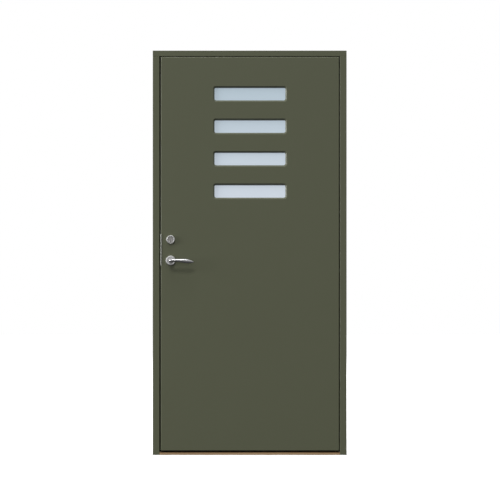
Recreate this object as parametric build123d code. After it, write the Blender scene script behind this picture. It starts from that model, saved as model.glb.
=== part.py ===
from build123d import *
import math
import os

# Front door with its frame, opening inwards, modelled closed.
# X runs to the right as seen from outside, Y into the house, Z up.
# The origin is the middle of the threshold's underside, at mid-depth of the frame.

# Frame
outer_width = 990
outer_height = 2065
frame_depth = 80
jamb_thickness = 34
head_thickness = 29
rebate_width = 14
stop_depth = 54
frame_edge_radius = 2
frame_corner_radius = 1.5
gasket_inset = 6
gasket_groove = 5
gasket_stem_width = 3
gasket_width = 7
jamb_bevel = 1.5
head_bevel = 1
half_width = outer_width / 2
outer_y = -frame_depth / 2
inner_y = frame_depth / 2
stop_y = outer_y + stop_depth
stop_x = half_width - jamb_thickness
rebate_x = stop_x + rebate_width
gasket_x = stop_x + gasket_inset
head_z = outer_height - head_thickness
head_rebate_z = head_z + rebate_width

# Threshold
threshold_height = 15
threshold_nose = 10
threshold_slope = 20
nose_radius = 3

# Leaf, rebated: a narrow outer part between the jambs and a wider lip behind the stops
lock_gap = 7.5
hinge_gap = 5
top_gap = 3
leaf_x = stop_x - lock_gap
hinge_edge_x = stop_x - hinge_gap
leaf_bottom = 22
leaf_top = head_z - top_gap
lip_x = rebate_x - 4
lip_top = head_rebate_z - 4
lip_y = stop_y + 2
skin_thickness = 8
skin_back = outer_y + skin_thickness
inner_skin_front = inner_y - skin_thickness
stile_width = 95
stile_x = leaf_x - stile_width
top_rail_z = leaf_top - 75
bottom_rail_z = leaf_bottom + 95
leaf_edge_radius = 2.5
seal_front = -7
seal_back = 3
seal_stem = (-4, 0, leaf_bottom, leaf_bottom + 7)

# Four slot windows
slot_x = (hinge_edge_x - leaf_x) / 2
slot_width = 376
slot_height = 80
slot_radius = 13
slot_bevel = 7
slot_top_z = 1844
slot_pitch = 165.7
slot_centres = [slot_top_z - slot_pitch * row for row in range(4)]
pane_thickness = 4
pane_cover = 12
seal_thickness = 2
spacer_thickness = 14
unit_front = skin_back + seal_thickness
unit_back = unit_front + 2 * pane_thickness + spacer_thickness
pane_width = slot_width - 2 * slot_bevel + 2 * pane_cover
pane_height = slot_height - 2 * slot_bevel + 2 * pane_cover
pocket_width = pane_width + 4
pocket_height = pane_height + 4
reveal_width = pane_width - 20
reveal_height = pane_height - 20

# Lock, handle and cylinder
backset = 50
lock_x = backset - leaf_x
handle_z = 993
cylinder_z = handle_z + 106
plug_z = cylinder_z - 8.5
cylinder_bolt_z = cylinder_z + 2
lock_y = -12
case_thickness = 16
case_depth = 75
case_bottom = 962
case_top = 1127
forend_width = 22
forend_height = 235
forend_thickness = 3
forend_z = 1044.5
case_x = forend_thickness - leaf_x
latch_z = 1024
latch_height = 22
latch_throw = 12.5
latch_tail_x = -424
latch_channel_x = -410
bolt_z = 1064
bolt_height = 24
bolt_thickness = 12
bolt_tail_x = -418
bolt_channel_x = -415
follower_radius = 11
plug_radius = 7.5
plug_tail_radius = 3
turn_bar_radius = 5
cylinder_egg = (14, 9)
collar_egg = (21, 12.5)
collar_depth = 11
keyway = (2.6, 9.5)
through_bolt_radius = 2
through_bolt_offset = 17.5
slide_play = 0.1
spindle_side = 8
neck_radius = 9
running_play = 0.05
rose_radius = 24.5
rose_thickness = 9
spindle_reach = 32
strike_width = 24
strike_height = 225
strike_thickness = 3
strike_pocket = (-478, 1008, 1081)

# Steel guard beside the latch, bent round the leaf's edge
guard_bottom = 968.5
guard_height = 160
guard_thickness = 2
guard_back_y = -24
guard_lip_x = -448.5

# Hinges
hinge_heights = [240, 1040, 1840]
axis_x = (lip_x + rebate_x) / 2
axis_y = inner_y + 8.5
knuckle_radius = 8
pin_radius = 5
hinge_length = 100
plate_thickness = 3
plate_front = stop_y + 3
hinge_screw_pitch = 38
hinge_screw_y = 25
pin_top = 42

# Wall fixings through the jambs
fixing_radius = 6
fixing_y = -13
fixing_heights = [180, 760, 1340, 1920]

# Screws: length, shank radius, head radius and head height
frame_screw = (80, 2.5, 5, 3)
frame_screw_spots = [(478, -24), (485, 26)]
sill_screw_depths = [-18, 26]
sill_screw_z = 8
lock_screw = (24, 1.9, 3.6, 1.9)
strike_screw_offset = 100.5
guard_screw_y = -28
guard_screw_offset = 64.5
forend_screw_offset = 108
hinge_screw = (18, 2, 4, 2.2)


def block(x0, x1, y0, y1, z0, z1):
    return Pos((x0 + x1) / 2, (y0 + y1) / 2, (z0 + z1) / 2) * Box(x1 - x0, y1 - y0, z1 - z0)


def facing(y):
    """Plane at depth y, with X to the right, Z up and its normal out of the house."""
    return Plane.XZ.offset(-y)


def slab(sketch, y0, y1):
    """The sketch, drawn as seen from outside, as a solid from depth y0 to y1."""
    return extrude(facing(y1) * sketch, y1 - y0)


def rod(radius, start, end):
    """Round bar between two points."""
    direction = Vector(*end) - Vector(*start)
    return extrude(Plane(start, z_dir=direction) * Circle(radius), direction.length)


def screw(point, direction, length, shank, head, head_height):
    """Countersunk screw whose head is flush with the point."""
    outline = Polyline(
        (0, 0), (head, 0), (shank, -head_height), (shank, shank - length), (0, -length), close=True
    )
    turned = revolve(Plane.XZ * make_face(outline), Axis.Z)
    return Plane(point, z_dir=Vector(*direction) * -1) * turned


def mirrored(shape):
    return mirror(shape, about=Plane.YZ)


def cut(shape, tools):
    for tool in tools:
        shape -= tool
    return shape


def write(name, shape):
    solids = shape.solids()
    whole = solids[0] if len(solids) == 1 else Compound(children=list(solids))
    export_step(whole, "parts/" + name + ".step")


def write_group(name, shapes):
    solids = [solid for shape in shapes for solid in shape.solids()]
    export_step(Compound(children=solids), "parts/" + name + ".step")


# Fasteners, made first because the pieces they hold are cut to them
def frame_screws():
    made = []
    for side in (-1, 1):
        for x, y in frame_screw_spots:
            made.append(screw((side * x, y, outer_height), (0, 0, -1), *frame_screw))
        for y in sill_screw_depths:
            spot = (side * half_width, y, sill_screw_z)
            made.append(screw(spot, (-side, 0, 0), *frame_screw))
    return made


def lock_jamb_screws():
    heights = (forend_z - strike_screw_offset, forend_z + strike_screw_offset)
    return [screw((-stop_x, lock_y, z), (-1, 0, 0), *lock_screw) for z in heights]


def hinge_screws(x, direction):
    offsets = (-hinge_screw_pitch, 0, hinge_screw_pitch)
    spots = [(x, hinge_screw_y, z + offset) for z in hinge_heights for offset in offsets]
    return [screw(spot, (direction, 0, 0), *hinge_screw) for spot in spots]


def forend_screws():
    """Screws in the leaf's edge that hold the forend plate and the guard."""
    guard_z = guard_bottom + guard_height / 2
    pairs = (
        (-leaf_x, lock_y, forend_z, forend_screw_offset),
        (-leaf_x - guard_thickness, guard_screw_y, guard_z, guard_screw_offset),
    )
    made = []
    for x, y, middle, offset in pairs:
        for z in (middle - offset, middle + offset):
            made.append(screw((x, y, z), (1, 0, 0), *lock_screw))
    return made


def through_bolts(z):
    """Pair of bolts that clamp the roses on both faces of the leaf together."""
    spots = (lock_x - through_bolt_offset, lock_x + through_bolt_offset)
    return [rod(through_bolt_radius, (x, outer_y - 3, z), (x, inner_y + 6, z)) for x in spots]


# Frame pieces
def joint_bevel(z, depth):
    """Chamfer across a jamb's front at the joint with the head, up or down by depth."""
    outline = Polyline((outer_y, z), (outer_y + abs(depth), z), (outer_y, z + depth), close=True)
    return extrude(Plane.YZ.offset(stop_x) * make_face(outline), jamb_thickness)


def jamb():
    """Right-hand jamb, rebated for the leaf's lip and grooved for the gasket."""
    outline = Polyline(
        (stop_x, outer_y),
        (half_width, outer_y),
        (half_width, inner_y),
        (rebate_x, inner_y),
        (rebate_x, stop_y),
        (stop_x, stop_y),
        close=True,
    )
    section = make_face(outline)
    for corner, radius in (
        ((stop_x, outer_y), frame_edge_radius),
        ((half_width, outer_y), frame_corner_radius),
        ((half_width, inner_y), frame_corner_radius),
        ((rebate_x, inner_y), frame_corner_radius),
    ):
        section = fillet(section.vertices().sort_by_distance(corner)[0], radius)
    post = extrude(section, head_z)
    half = gasket_stem_width / 2
    groove = block(gasket_x - half, gasket_x + half, stop_y - gasket_groove, stop_y, 0, head_z)
    holes = [
        rod(fixing_radius, (stop_x - 1, fixing_y, z), (half_width + 1, fixing_y, z))
        for z in fixing_heights
    ]
    return cut(post, [groove, joint_bevel(head_z, -jamb_bevel), *holes])


def head():
    """Head across both jambs, with the rebate between them."""
    beam = block(-half_width, half_width, outer_y, inner_y, head_z, outer_height)
    ends = beam.edges().filter_by(Axis.Y)
    ends = ends.filter_by_position(Axis.Z, outer_height - 1, outer_height + 1)
    beam = fillet(ends, frame_corner_radius)
    beam -= block(-rebate_x, rebate_x, stop_y, inner_y, head_z, head_rebate_z)
    bevel = joint_bevel(head_z, head_bevel)
    beam = cut(beam, [gasket_stem(), bevel, mirrored(bevel)])
    radius = frame_edge_radius
    corner = block(-stop_x, stop_x, outer_y, outer_y + radius, head_z, head_z + radius)
    centre = (outer_y + radius, head_z + radius)
    return beam - (corner - rod(radius, (-stop_x, *centre), (stop_x, *centre)))


def threshold():
    """Oak sill between the jambs, its front sloping to a nose."""
    outline = Polyline(
        (outer_y, 0),
        (inner_y, 0),
        (inner_y, threshold_height),
        (outer_y + threshold_slope, threshold_height),
        (outer_y, threshold_nose),
        close=True,
    )
    section = make_face(outline)
    for corner, radius in (
        ((outer_y, threshold_nose), nose_radius),
        ((inner_y, threshold_height), frame_corner_radius),
    ):
        section = fillet(section.vertices().sort_by_distance(corner)[0], radius)
    sill = extrude(Plane.YZ.offset(-rebate_x) * section, 2 * rebate_x)
    notch = block(stop_x, rebate_x, outer_y, stop_y, 0, threshold_height)
    return sill - notch - mirrored(notch)


def arch(outer_x, top, width):
    """Band up one side, across the top and down the other, standing on the threshold."""
    height = top - threshold_height
    middle = threshold_height + height / 2
    outside = Pos(0, middle) * Rectangle(2 * outer_x, height)
    inside = Pos(0, middle - width / 2) * Rectangle(2 * (outer_x - width), height - width)
    return outside - inside


def gasket_arch(width):
    """Arch of this width along the middle of the gasket's groove."""
    return arch(gasket_x + width / 2, head_z + gasket_inset + width / 2, width)


def gasket_stem():
    return slab(gasket_arch(gasket_stem_width), stop_y - gasket_groove, stop_y)


def frame_gasket():
    """Rubber gasket round the stop, with its stem in the frame's groove."""
    return gasket_stem() + slab(gasket_arch(gasket_width), stop_y, lip_y - 0.25)


def strike_blank():
    shape = RectangleRounded(strike_width, strike_height, 4)
    return slab_x(shape, forend_z, -stop_x - strike_thickness, -stop_x)


def strike_plate():
    plate = strike_blank()
    for z, height in ((latch_z, latch_height), (bolt_z, bolt_height)):
        hole = RectangleRounded(bolt_thickness + 3, height + 3, 1.5)
        plate -= slab_x(hole, z, -stop_x - strike_thickness, -stop_x)
    return plate


def slab_x(sketch, z, x0, x1):
    """The sketch, drawn in Y and Z about the lock's depth, as a solid from x0 to x1."""
    return extrude(Plane.YZ.offset(x0) * Pos(lock_y, z) * sketch, x1 - x0)


# Leaf pieces
def window_pockets(y0, y1):
    """Square openings through the leaf behind the outer skin, one for each glass unit."""
    shape = Rectangle(pocket_width, pocket_height)
    return [slab(Pos(slot_x, z) * shape, y0, y1) for z in slot_centres]


def outer_skin():
    """Outer sheet with rounded edges and a bevelled opening for each window."""
    sheet = block(-leaf_x, hinge_edge_x, outer_y, skin_back, leaf_bottom, leaf_top)
    rim = sheet.faces().sort_by(Axis.Y)[0].edges()
    sheet = fillet(rim, leaf_edge_radius)
    wide = RectangleRounded(slot_width, slot_height, slot_radius)
    narrow = RectangleRounded(
        slot_width - 2 * slot_bevel, slot_height - 2 * slot_bevel, slot_radius - 4
    )
    for z in slot_centres:
        front = facing(outer_y) * Pos(slot_x, z) * wide
        back = facing(skin_back) * Pos(slot_x, z) * narrow
        sheet -= loft([front, back], ruled=True)
    return sheet


def inner_skin():
    """Inner sheet over the whole rebated leaf, with square window openings."""
    sheet = block(-lip_x, lip_x, inner_skin_front, inner_y, leaf_bottom, lip_top)
    rim = sheet.faces().sort_by(Axis.Y)[-1].edges()
    return cut(fillet(rim, 3), window_pockets(inner_skin_front, inner_y))


def stile(edge_x):
    """Right-hand stile with its lip, up to the full height of the leaf."""
    narrow = block(stile_x, edge_x, skin_back, inner_skin_front, leaf_bottom, leaf_top)
    lip = block(stile_x, lip_x, lip_y, inner_skin_front, leaf_bottom, lip_top)
    return narrow + lip


def top_rail():
    narrow = block(-stile_x, stile_x, skin_back, inner_skin_front, top_rail_z, leaf_top)
    return narrow + block(-stile_x, stile_x, lip_y, inner_skin_front, top_rail_z, lip_top)


def bottom_rail():
    rail = block(-stile_x, stile_x, skin_back, inner_skin_front, leaf_bottom, bottom_rail_z)
    return rail - block(-stile_x, stile_x, *seal_stem)


def bottom_seal():
    """Rubber strip under the leaf, with its stem in the bottom rail."""
    reach = stile_x + 90
    lip = block(-reach, reach, seal_front, seal_back, threshold_height + 0.5, leaf_bottom)
    return lip + block(-stile_x, stile_x, *seal_stem)


def insulation_core():
    core = block(-stile_x, stile_x, skin_back, inner_skin_front, bottom_rail_z, top_rail_z)
    return cut(core, window_pockets(skin_back, inner_skin_front))


def ring(outer, inner, radius):
    """Rectangular band with a rounded inner opening."""
    return Rectangle(*outer) - RectangleRounded(*inner, radius)


def glazing_seals():
    inside = (slot_width - 2 * slot_bevel + 2, slot_height - 2 * slot_bevel + 2)
    band = ring((pane_width - 4, pane_height - 4), inside, 9)
    return [slab(Pos(slot_x, z) * band, skin_back, unit_front) for z in slot_centres]


def pane(z, front):
    shape = Pos(slot_x, z) * Rectangle(pane_width, pane_height)
    return chamfer(slab(shape, front, front + pane_thickness).edges(), 0.4)


def pane_spacers():
    band = ring((pane_width - 8, pane_height - 8), (pane_width - 20, pane_height - 20), 2)
    front = unit_front + pane_thickness
    return [slab(Pos(slot_x, z) * band, front, front + spacer_thickness) for z in slot_centres]


def window_reveal(z):
    """Moulded liner from the inner pane to a rounded flange on the inner face."""
    tube = ring((pocket_width, pocket_height), (reveal_width, reveal_height), 8)
    flange = RectangleRounded(pocket_width + 28, pocket_height + 28, 14)
    flange -= RectangleRounded(reveal_width, reveal_height, 8)
    liner = slab(Pos(slot_x, z) * flange, inner_y, inner_y + 4)
    liner = fillet(liner.faces().sort_by(Axis.Y)[-1].edges(), 1.5)
    return liner + slab(Pos(slot_x, z) * tube, unit_back, inner_y)


def latch_guard():
    """Strip bent round the leaf's rounded edge, from its side onto its face."""
    edge_x = -leaf_x
    wall = guard_thickness
    bend = leaf_edge_radius
    centre_x = edge_x + bend
    side = block(edge_x - wall, edge_x, outer_y + bend, guard_back_y, 0, guard_height)
    lip = block(centre_x, guard_lip_x, outer_y - wall, outer_y, 0, guard_height)
    lip = fillet(lip.edges().filter_by(Axis.Z).sort_by_distance((guard_lip_x, outer_y - wall, 0))[0], 0.8)
    line = ((centre_x, outer_y + bend, 0), (centre_x, outer_y + bend, guard_height))
    elbow = rod(bend + wall, *line) - rod(bend, *line)
    corner = block(edge_x - wall, centre_x, outer_y - wall, outer_y + bend, 0, guard_height)
    return Pos(0, 0, guard_bottom) * (side + lip + (elbow & corner))


# Hinges
def hinge_plate(x):
    height = inner_y - plate_front
    shape = RectangleRounded(2 * height, hinge_length, 6)
    plate = extrude(Plane.YZ.offset(x) * Pos(inner_y, 0) * shape, plate_thickness)
    return plate - block(x - 1, x + plate_thickness + 1, inner_y, inner_y + height, -60, 60)


def hinge_half(x, z0, z1):
    """Recessed plate with a knuckle over part of its length, about height 0."""
    neck = block(x, x + plate_thickness, inner_y - 1, axis_y - 5, z0 + 2, z1 - 2)
    knuckle = rod(knuckle_radius, (axis_x, axis_y, z0), (axis_x, axis_y, z1))
    knuckle = fillet(knuckle.edges().filter_by(GeomType.CIRCLE), 1)
    return hinge_plate(x) + neck + knuckle


def hinge_frame_half():
    half = hinge_half(rebate_x, -hinge_length / 2, -1)
    return half - rod(pin_radius, (axis_x, axis_y, -60), (axis_x, axis_y, 0))


def hinge_leaf_half():
    half = hinge_half(lip_x - plate_thickness, 1, hinge_length / 2)
    bore = rod(pin_radius + running_play, (axis_x, axis_y, 0), (axis_x, axis_y, pin_top + 1))
    return half - bore


def hinge_pin():
    pin = rod(pin_radius, (axis_x, axis_y, -hinge_length / 2), (axis_x, axis_y, pin_top))
    return chamfer(pin.faces().sort_by(Axis.Z)[-1].edges(), 1.2)


def hinge_washer():
    washer = rod(knuckle_radius, (axis_x, axis_y, -1), (axis_x, axis_y, 1))
    return washer - rod(pin_radius, (axis_x, axis_y, -1), (axis_x, axis_y, 1))


# Lock and its furniture
def egg(body_radius, lobe_radius):
    """Outline of the oval cylinder, narrower at its lower end."""
    body = Pos(lock_x, cylinder_z + 1.5) * Circle(body_radius)
    lobe = Pos(lock_x, plug_z) * Circle(lobe_radius)
    return make_hull([*body.edges(), *lobe.edges()])


def lock_case():
    """Closed mortise case with channels for the latch, the dead bolt and the follower."""
    low_y = lock_y - case_thickness / 2
    high_y = lock_y + case_thickness / 2
    case = block(case_x, case_x + case_depth, low_y, high_y, case_bottom, case_top)
    case = fillet(case.edges().filter_by(Axis.Y), 3)
    reach = bolt_thickness / 2 + slide_play
    channels = ((latch_z, latch_height, latch_channel_x), (bolt_z, bolt_height, bolt_channel_x))
    for z, height, end in channels:
        half = height / 2 + slide_play
        case -= block(case_x, end, lock_y - reach, lock_y + reach, z - half, z + half)
    hub_bore = follower_radius + running_play
    tail_bore = plug_tail_radius + 0.5
    bar_bore = turn_bar_radius + 0.5
    case -= rod(hub_bore, (lock_x, low_y, handle_z), (lock_x, high_y, handle_z))
    case -= rod(tail_bore, (lock_x, low_y, plug_z), (lock_x, lock_y, plug_z))
    case -= rod(bar_bore, (lock_x, lock_y + 1, cylinder_z), (lock_x, high_y, cylinder_z))
    return cut(case, through_bolts(handle_z) + through_bolts(cylinder_bolt_z))


def forend_plate():
    shape = RectangleRounded(forend_width, forend_height, 4)
    plate = slab_x(shape, forend_z, -leaf_x, case_x)
    for z, height in ((latch_z, latch_height), (bolt_z, bolt_height)):
        hole = Rectangle(bolt_thickness + 2 * slide_play, height + 2 * slide_play)
        plate -= slab_x(hole, z, -leaf_x, case_x)
    return plate


def latch_bolt():
    """Latch with its bevel towards the outside, where it meets the strike on closing."""
    low_y = lock_y - bolt_thickness / 2
    high_y = lock_y + bolt_thickness / 2
    tip = -leaf_x - latch_throw
    outline = Polyline(
        (latch_tail_x, low_y),
        (latch_tail_x, high_y),
        (tip, high_y),
        (tip, high_y - 3),
        (tip + 11, low_y),
        close=True,
    )
    bolt = extrude(Plane.XY.offset(latch_z - latch_height / 2) * make_face(outline), latch_height)
    return fillet(bolt.edges().filter_by(Axis.Z).sort_by(Axis.X)[:2], 1)


def dead_bolt():
    low_y = lock_y - bolt_thickness / 2
    high_y = lock_y + bolt_thickness / 2
    half = bolt_height / 2
    bolt = block(-leaf_x + 0.5, bolt_tail_x, low_y, high_y, bolt_z - half, bolt_z + half)
    return chamfer(bolt.faces().sort_by(Axis.X)[0].edges(), 1)


def follower():
    """Hub in the lock case that the spindle turns."""
    half = case_thickness / 2
    ends = ((lock_x, lock_y - half, handle_z), (lock_x, lock_y + half, handle_z))
    hub = rod(follower_radius, *ends)
    return hub - slab(square(), lock_y - half, lock_y + half)


def square():
    return Pos(lock_x, handle_z) * Rectangle(spindle_side, spindle_side)


def rose(radius, hole, x, z):
    """Turned rose on the outer face: a rounded rim, a shallow dish and a raised ring."""
    face = -rose_thickness
    profile = Polyline(
        (hole, 0),
        (radius, 0),
        (radius, face + 3),
        (radius - 2.5, face),
        (radius - 5, face),
        (radius - 8, face + 2.5),
        (hole + 3.5, face + 2.5),
        (hole + 2.5, face - 0.5),
        (hole, face - 0.5),
        close=True,
    )
    turned = revolve(Plane.XY * make_face(profile), Axis.Y)
    rim = turned.edges().filter_by(GeomType.CIRCLE).sort_by(SortBy.RADIUS)
    rim = [edge for edge in rim if edge.center().Y < face + 3.5 and edge.radius > radius - 6]
    turned = fillet(rim, 0.9)
    return Pos(x, outer_y, z) * turned


def section_plane(x, y, z, turn):
    """Plane across the lever where its line has turned from outwards to along the leaf."""
    angle = math.radians(turn)
    return Plane(
        (lock_x + x, outer_y + y, handle_z + z),
        x_dir=(0, 0, 1),
        z_dir=(math.sin(angle), -math.cos(angle), 0),
    )


def outer_lever():
    """Cast lever: a round neck, a tight bend and an arm that widens, droops and tapers."""
    arm_y = -48
    bend = 12
    stations = [
        (0, arm_y + bend, 0, 0, neck_radius, neck_radius),
        (bend * (1 - math.cos(math.pi / 4)), arm_y + bend * 0.3, 0.2, 45, 8.6, 8.2),
        (bend, arm_y, 0.4, 90, 7.9, 7),
        (30, arm_y - 0.5, 0.3, 90, 7.8, 6),
        (50, arm_y, -0.8, 90, 8.9, 5.8),
        (70, arm_y + 1, -2.4, 90, 10.6, 5.8),
        (86, arm_y + 2, -3.9, 90, 10.7, 5.4),
        (99, arm_y + 3.4, -5.5, 90, 8.9, 4.8),
        (109, arm_y + 4.8, -6.4, 90, 6.4, 3.8),
        (116, arm_y + 6, -7, 90, 3.4, 2.4),
        (118.5, arm_y + 6.6, -7.4, 90, 1.4, 1),
    ]
    sections = [
        section_plane(x, y, z, turn) * Ellipse(height, thickness)
        for x, y, z, turn, height, thickness in stations
    ]
    neck = rod(neck_radius, (lock_x, outer_y - 2, handle_z), (lock_x, outer_y + arm_y + bend, handle_z))
    lever = neck + loft(sections)
    return lever - slab(square(), outer_y - spindle_reach, outer_y)


def spindle():
    return slab(square(), outer_y - spindle_reach, inner_y + spindle_reach)


def cylinder_collar():
    """Dished collar round the lock cylinder, with a bevelled rim."""
    front = outer_y - collar_depth
    ring_shape = slab(egg(*collar_egg), front, outer_y)
    ring_shape = chamfer(ring_shape.faces().sort_by(Axis.Y)[0].edges(), 2.4)
    dish = loft(
        [
            facing(front) * egg(17.4, 10.2),
            facing(front + 4) * egg(14.6, 9.4),
        ],
        ruled=True,
    )
    ring_shape -= slab(egg(*[radius + 0.2 for radius in cylinder_egg]), front, outer_y)
    return cut(ring_shape - dish, through_bolts(cylinder_bolt_z))


def outer_cylinder():
    """Oval cylinder body from the collar to the lock case, bored for its plug."""
    front = outer_y - 9
    body = slab(egg(*cylinder_egg), front, lock_y - case_thickness / 2)
    body = chamfer(body.faces().sort_by(Axis.Y)[0].edges(), 0.8)
    return body - rod(plug_radius + running_play, (lock_x, front, plug_z), (lock_x, 0, plug_z))


def cylinder_plug():
    """Plug with its keyway, and a tail that reaches into the lock case."""
    front = outer_y - 10
    back = lock_y - case_thickness / 2
    plug = rod(plug_radius, (lock_x, front, plug_z), (lock_x, back - 0.3, plug_z))
    plug = chamfer(plug.faces().sort_by(Axis.Y)[0].edges(), 1)
    plug -= slab(Pos(lock_x, plug_z) * Rectangle(*keyway), front, front + 20)
    return plug + rod(plug_tail_radius, (lock_x, back - 1, plug_z), (lock_x, lock_y - 1, plug_z))


def thumbturn():
    """Inner turn knob with a flat waisted grip, and the bar that reaches the lock case."""
    base = rod(13, (lock_x, inner_y + 7, cylinder_z), (lock_x, inner_y + 14, cylinder_z))
    base = fillet(base.faces().sort_by(Axis.Y)[-1].edges(), 2)
    grip = slab(Pos(lock_x, cylinder_z) * SlotOverall(34, 9, 90), inner_y + 12, inner_y + 27)
    grip = fillet(grip.faces().sort_by(Axis.Y)[-1].edges(), 2.5)
    bar = rod(
        turn_bar_radius, (lock_x, lock_y + 2, cylinder_z), (lock_x, inner_y + 8, cylinder_z)
    )
    return base + grip + bar


def thumbturn_rose():
    plate = slab(Pos(lock_x, cylinder_z) * Circle(rose_radius), inner_y, inner_y + 7)
    plate = fillet(plate.faces().sort_by(Axis.Y)[-1].edges(), 2.5)
    bore = turn_bar_radius + 0.3
    return plate - rod(bore, (lock_x, inner_y, cylinder_z), (lock_x, inner_y + 7, cylinder_z))


def make_frame():
    corner_screws = frame_screws()
    side_screws = lock_jamb_screws()
    plate_screws = hinge_screws(rebate_x, 1)
    plates = [Pos(0, 0, z) * hinge_plate(rebate_x) for z in hinge_heights]
    write("frame_hinge_jamb", cut(jamb(), corner_screws + plate_screws + plates))
    pocket_x, pocket_bottom, pocket_top = strike_pocket
    pocket = block(pocket_x, -stop_x, lock_y - 8.5, lock_y + 8.5, pocket_bottom, pocket_top)
    lock_jamb = cut(mirrored(jamb()), [pocket, strike_blank()])
    write("frame_lock_jamb", cut(lock_jamb, corner_screws + side_screws))
    write("frame_head", cut(head(), corner_screws))
    write("threshold", cut(threshold(), corner_screws))
    write("frame_gasket", frame_gasket())
    write("strike_plate", cut(strike_plate(), side_screws))
    write_group("frame_screws", corner_screws)
    write_group("lock_jamb_screws", side_screws)
    write_group("hinge_frame_screws", plate_screws)
    write_group("hinge_pins", [Pos(0, 0, z) * hinge_pin() for z in hinge_heights])
    write_group("hinge_washers", [Pos(0, 0, z) * hinge_washer() for z in hinge_heights])
    for number, z in enumerate(hinge_heights, 1):
        half = Pos(0, 0, z) * hinge_frame_half()
        write(f"hinge_frame_half_{number}", cut(half, plate_screws))


def make_leaf():
    plate_screws = hinge_screws(lip_x, -1)
    plate_x = lip_x - plate_thickness
    plates = [Pos(0, 0, z) * hinge_plate(plate_x) for z in hinge_heights]
    bolts = through_bolts(handle_z) + through_bolts(cylinder_bolt_z)
    spindle_hole = rod(
        follower_radius + 0.5, (lock_x, outer_y, handle_z), (lock_x, inner_y, handle_z)
    )
    cylinder_hole = slab(egg(*[radius + 0.3 for radius in cylinder_egg]), outer_y, lock_y)
    turn_hole = rod(
        turn_bar_radius + 1, (lock_x, lock_y, cylinder_z), (lock_x, inner_y, cylinder_z)
    )
    furniture_holes = [spindle_hole, cylinder_hole, turn_hole, *bolts]
    write("outer_skin", cut(outer_skin(), furniture_holes))
    write("inner_skin", cut(inner_skin(), furniture_holes + plates + plate_screws))
    write("hinge_stile", cut(stile(hinge_edge_x), plates + plate_screws))
    mortise = block(
        case_x, case_x + case_depth, lock_y - 8, lock_y + 8, case_bottom, case_top
    )
    seat = slab_x(RectangleRounded(forend_width, forend_height, 4), forend_z, -leaf_x, case_x)
    end_screws = forend_screws()
    lock_stile = mirrored(stile(leaf_x))
    write("lock_stile", cut(lock_stile, [mortise, seat] + furniture_holes + end_screws))
    write("top_rail", top_rail())
    write("bottom_rail", bottom_rail())
    write("bottom_seal", bottom_seal())
    write("insulation_core", insulation_core())
    write_group("glazing_seals", glazing_seals())
    write_group("pane_spacers", pane_spacers())
    for number, z in enumerate(slot_centres, 1):
        write(f"outer_pane_{number}", pane(z, unit_front))
        write(f"inner_pane_{number}", pane(z, unit_back - pane_thickness))
        write(f"window_reveal_{number}", window_reveal(z))
    for number, z in enumerate(hinge_heights, 1):
        half = Pos(0, 0, z) * hinge_leaf_half()
        write(f"hinge_leaf_half_{number}", cut(half, plate_screws))
    write_group("hinge_leaf_screws", plate_screws)
    write("lock_case", lock_case())
    write("forend_plate", cut(forend_plate(), end_screws))
    write("latch_guard", cut(latch_guard(), end_screws))
    write_group("forend_screws", end_screws)
    handle_rose = cut(rose(rose_radius, neck_radius + running_play, lock_x, handle_z), bolts)
    write("outer_rose", handle_rose)
    write("inner_rose", mirror(handle_rose, about=Plane.XZ) - Compound(children=bolts))
    write("thumbturn_rose", cut(thumbturn_rose(), bolts))
    write("cylinder_collar", cylinder_collar())
    write("outer_cylinder", outer_cylinder())
    write_group("through_bolts", bolts)


def make_moving_hardware():
    lever = outer_lever()
    write("outer_lever", lever)
    write("inner_lever", mirror(lever, about=Plane.XZ))
    write("spindle", spindle())
    write("follower", follower())
    write("latch_bolt", latch_bolt())
    write("dead_bolt", dead_bolt())
    write("cylinder_plug", cylinder_plug())
    write("thumbturn", thumbturn())


os.makedirs("parts", exist_ok=True)
make_frame()
make_leaf()
make_moving_hardware()
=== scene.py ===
import math

import bmesh
import bpy
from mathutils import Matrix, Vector


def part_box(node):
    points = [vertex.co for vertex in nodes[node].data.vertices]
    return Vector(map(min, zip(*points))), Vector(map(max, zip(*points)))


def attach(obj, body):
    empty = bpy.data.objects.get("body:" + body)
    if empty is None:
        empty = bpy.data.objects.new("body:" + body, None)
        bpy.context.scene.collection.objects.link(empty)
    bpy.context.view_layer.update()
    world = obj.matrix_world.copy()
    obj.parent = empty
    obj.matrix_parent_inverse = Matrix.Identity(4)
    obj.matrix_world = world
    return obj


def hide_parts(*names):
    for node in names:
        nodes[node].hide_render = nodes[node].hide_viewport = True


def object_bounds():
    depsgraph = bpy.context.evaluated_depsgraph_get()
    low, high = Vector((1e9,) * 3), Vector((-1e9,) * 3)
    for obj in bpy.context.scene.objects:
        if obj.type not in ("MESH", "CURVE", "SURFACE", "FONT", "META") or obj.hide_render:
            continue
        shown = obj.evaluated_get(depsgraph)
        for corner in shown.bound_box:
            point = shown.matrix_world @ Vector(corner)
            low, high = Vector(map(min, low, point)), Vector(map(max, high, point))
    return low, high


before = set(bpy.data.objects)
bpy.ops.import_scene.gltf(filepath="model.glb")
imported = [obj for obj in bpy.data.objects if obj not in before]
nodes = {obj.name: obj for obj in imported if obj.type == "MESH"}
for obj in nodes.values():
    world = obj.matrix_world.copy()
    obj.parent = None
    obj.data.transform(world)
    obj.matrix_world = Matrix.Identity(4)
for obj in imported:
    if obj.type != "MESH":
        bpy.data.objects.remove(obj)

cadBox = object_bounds()
windows = range(1, 5)
print("frame loaded:", len(nodes), "nodes")

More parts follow.
